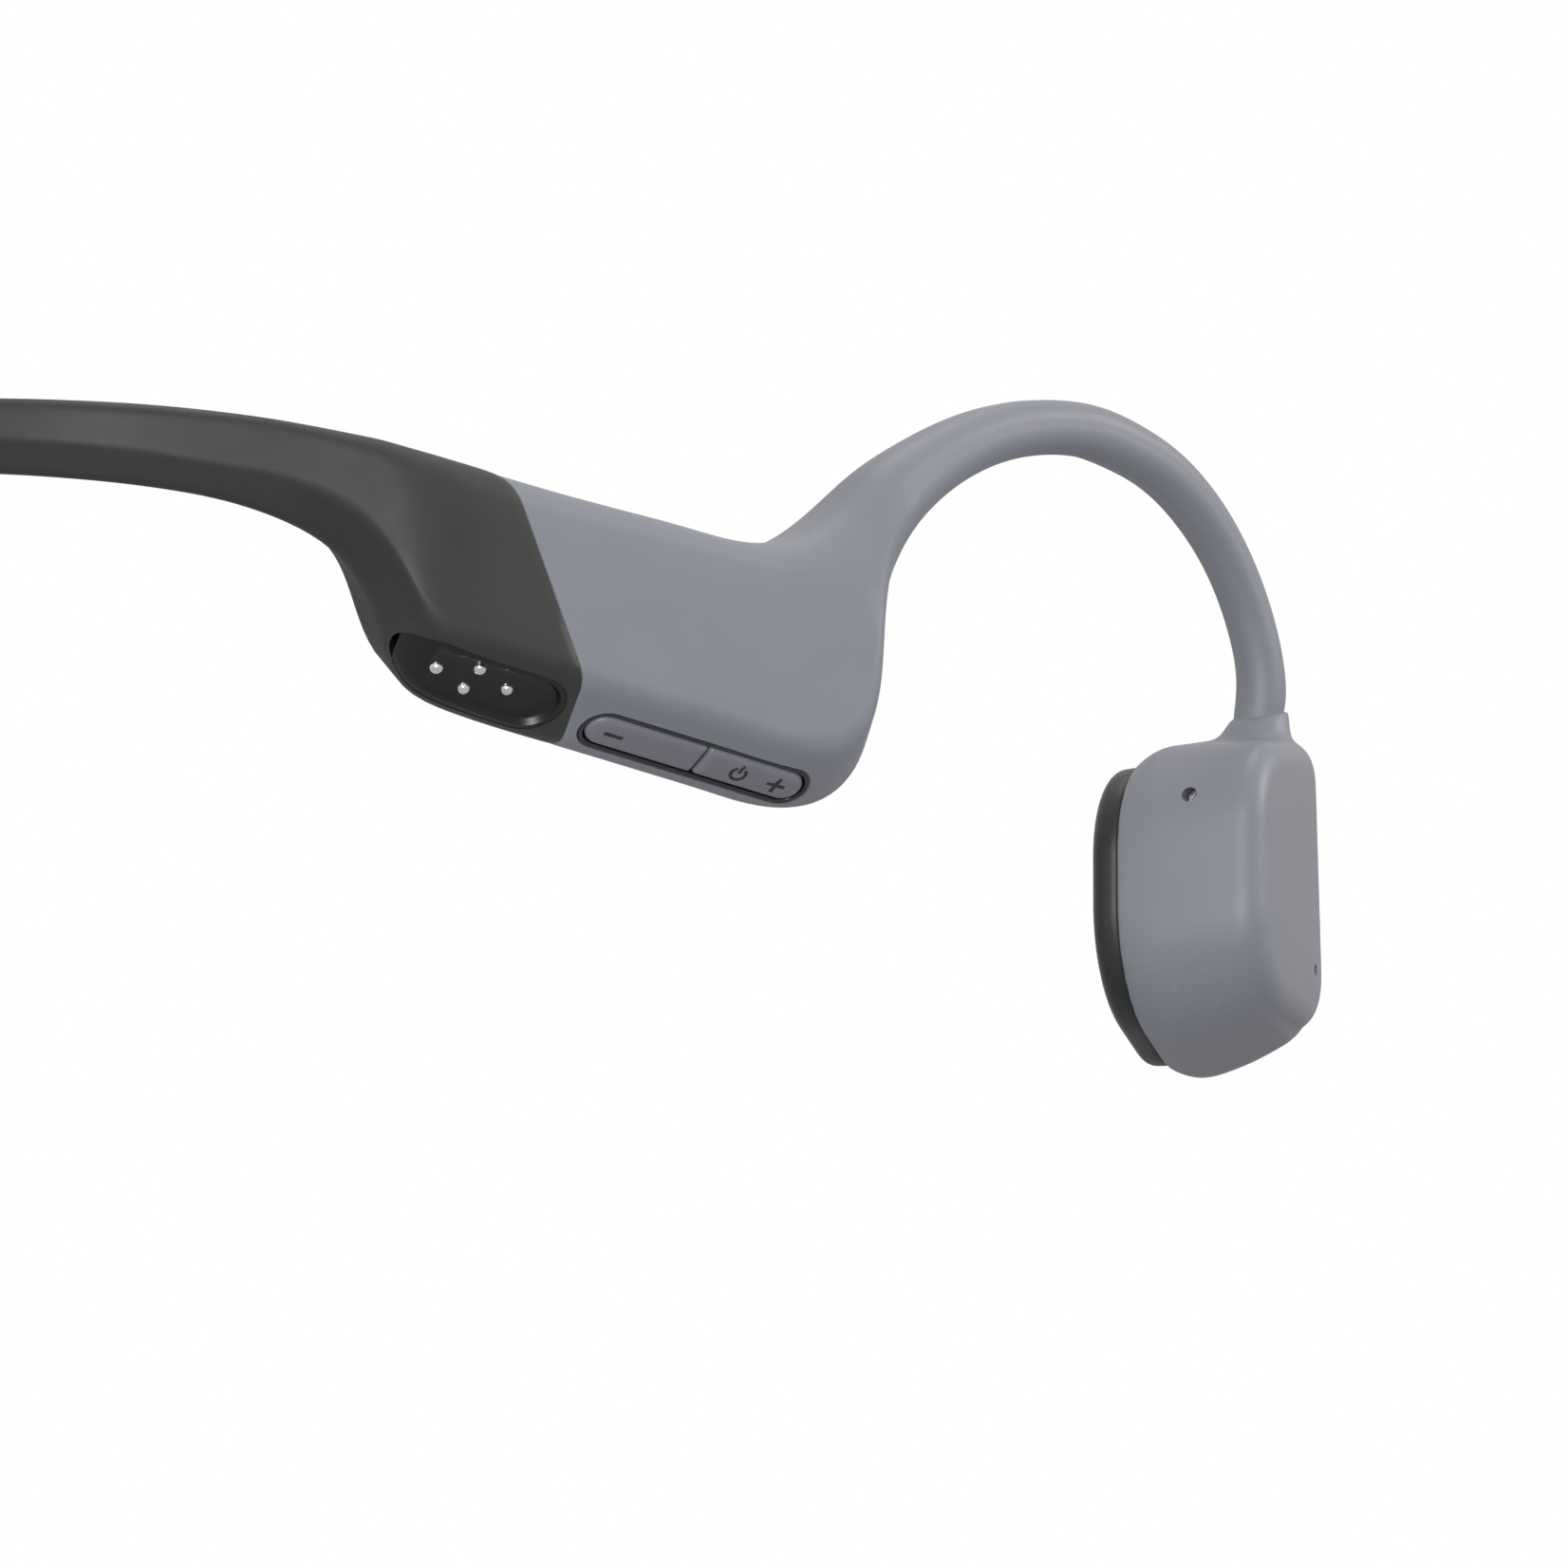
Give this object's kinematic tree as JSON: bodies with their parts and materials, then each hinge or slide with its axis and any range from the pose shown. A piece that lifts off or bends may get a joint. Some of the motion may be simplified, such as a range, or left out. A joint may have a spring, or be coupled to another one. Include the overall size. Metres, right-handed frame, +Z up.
{
  "type": "bone conduction headphones",
  "caption": "Open-ear bone conduction headphones: a springy neckband joins control pods, ear hooks and flat transducers with soft inner pads, a magnetic charging port and side buttons.",
  "frame": {"origin": "centre of the bounding box in plan, on the floor the headphones lean on", "axes": "+X towards the wearer's right, +Y forward as worn, +Z up"},
  "size_m": [0.1306, 0.1003, 0.0446],
  "materials": {
    "dark_silicone": "matte, slightly warm charcoal silicone",
    "grey_silicone": "matte, cool grey silicone",
    "grey_shell": "soft-touch grey plastic",
    "pad_silicone": "satin dark silicone",
    "spring_wire": "drawn spring wire",
    "cable_jacket": "matte black jacket",
    "inner_frame": "fine moulded black plastic",
    "crimp_metal": "satin brass",
    "port_gloss": "gloss black plastic",
    "contact_metal": "polished plated metal",
    "magnet_metal": "nickel-plated metal",
    "circuit_board": "green coated laminate",
    "chip_black": "moulded black epoxy",
    "antenna_metal": "thin plain metal",
    "bezel_dark": "satin black plastic",
    "button_grey": "soft-touch grey",
    "switch_metal": "pressed steel",
    "plate_metal": "plated steel",
    "spring_bronze": "spring bronze",
    "copper_wire": "lacquered copper",
    "microphone_metal": "pressed plated can",
    "mesh_metal": "fine woven metal",
    "battery_foil": "bluish laminate foil",
    "foam": "black foam"
  },
  "bodies": {
    "right_side": {"neckband_sleeve": "dark_silicone", "neckband_wire": "spring_wire", "neckband_cable": "cable_jacket", "right_pod_rear_skin": "dark_silicone", "right_pod_front_skin": "grey_silicone", "right_pod_outer_shell": "inner_frame", "right_pod_inner_shell": "inner_frame", "right_band_anchor": "crimp_metal", "right_hook_anchor": "crimp_metal", "right_hook_sleeve": "grey_silicone", "right_hook_wire": "spring_wire", "right_hook_cable": "cable_jacket", "charging_port_insert": "port_gloss", "charging_contacts": "contact_metal", "charging_magnets": "magnet_metal", "charging_board": "circuit_board", "main_circuit_board": "circuit_board", "board_chips": "chip_black", "wireless_antenna": "antenna_metal", "button_bezel": "bezel_dark", "button_board": "circuit_board", "volume_switches": "switch_metal"},
    "volume_down": {"volume_down_button": "button_grey"},
    "volume_up": {"volume_up_button": "button_grey"},
    "right_transducer": {"right_transducer_shell": "grey_shell", "right_transducer_pad": "pad_silicone", "right_vibration_plate": "plate_metal", "right_driver_spring": "spring_bronze", "right_voice_coil": "copper_wire", "right_driver_bracket": "inner_frame", "microphone_board": "circuit_board", "microphones": "microphone_metal", "microphone_meshes": "mesh_metal"},
    "right_armature": {"right_driver_yoke": "plate_metal", "right_driver_magnet": "magnet_metal"},
    "left_side": {"left_pod_rear_skin": "dark_silicone", "left_pod_front_skin": "grey_silicone", "left_pod_outer_shell": "inner_frame", "left_pod_inner_shell": "inner_frame", "left_band_anchor": "crimp_metal", "left_hook_anchor": "crimp_metal", "left_hook_sleeve": "grey_silicone", "left_hook_wire": "spring_wire", "left_hook_cable": "cable_jacket", "battery_cell": "battery_foil", "battery_board": "circuit_board", "battery_foam": "foam"},
    "left_transducer": {"left_transducer_shell": "grey_shell", "left_transducer_pad": "pad_silicone", "left_vibration_plate": "plate_metal", "left_driver_spring": "spring_bronze", "left_voice_coil": "copper_wire", "left_driver_bracket": "inner_frame", "multifunction_switch": "switch_metal"},
    "left_armature": {"left_driver_yoke": "plate_metal", "left_driver_magnet": "magnet_metal"},
    "multifunction": {"multifunction_button": "button_grey"}
  },
  "joints": [
    {"name": "band_flex", "type": "hinge", "parent": "right_side", "child": "left_side", "pos_m": [0, -0.0484, 0.0349], "axis": [0, 0, 1], "range_deg": [-8, 25], "stiffness_Nm_per_rad": 0.3, "deforming": ["neckband_sleeve", "neckband_wire", "neckband_cable"]},
    {"name": "right_hook_flex", "type": "hinge", "parent": "right_side", "child": "right_transducer", "pos_m": [0.057, 0.024, 0.042], "axis": [0, -1, 0], "range_deg": [-6, 12], "stiffness_Nm_per_rad": 0.15, "deforming": ["right_hook_sleeve", "right_hook_wire", "right_hook_cable"]},
    {"name": "left_hook_flex", "type": "hinge", "parent": "left_side", "child": "left_transducer", "pos_m": [-0.057, 0.024, 0.042], "axis": [0, 1, 0], "range_deg": [-6, 12], "stiffness_Nm_per_rad": 0.15, "deforming": ["left_hook_sleeve", "left_hook_wire", "left_hook_cable"]},
    {"name": "volume_down_press", "type": "slide", "parent": "right_side", "child": "volume_down", "axis": [-0.4129, 0.3402, 0.8449], "range_m": [0, 0.00035], "stiffness_N_per_m": 500},
    {"name": "volume_up_press", "type": "slide", "parent": "right_side", "child": "volume_up", "axis": [-0.4129, 0.3402, 0.8449], "range_m": [0, 0.00035], "stiffness_N_per_m": 500},
    {"name": "multifunction_press", "type": "slide", "parent": "left_transducer", "child": "multifunction", "axis": [0.9781, -0.2079, 0], "range_m": [0, 0.00035], "stiffness_N_per_m": 500},
    {"name": "right_driver_shake", "type": "slide", "parent": "right_transducer", "child": "right_armature", "axis": [0.9781, 0.2079, 0], "range_m": [-0.0001, 0.0001], "stiffness_N_per_m": 1900, "deforming": ["right_driver_spring"]},
    {"name": "left_driver_shake", "type": "slide", "parent": "left_transducer", "child": "left_armature", "axis": [-0.9781, 0.2079, 0], "range_m": [-0.0001, 0.0001], "stiffness_N_per_m": 1900, "deforming": ["left_driver_spring"]}
  ]
}
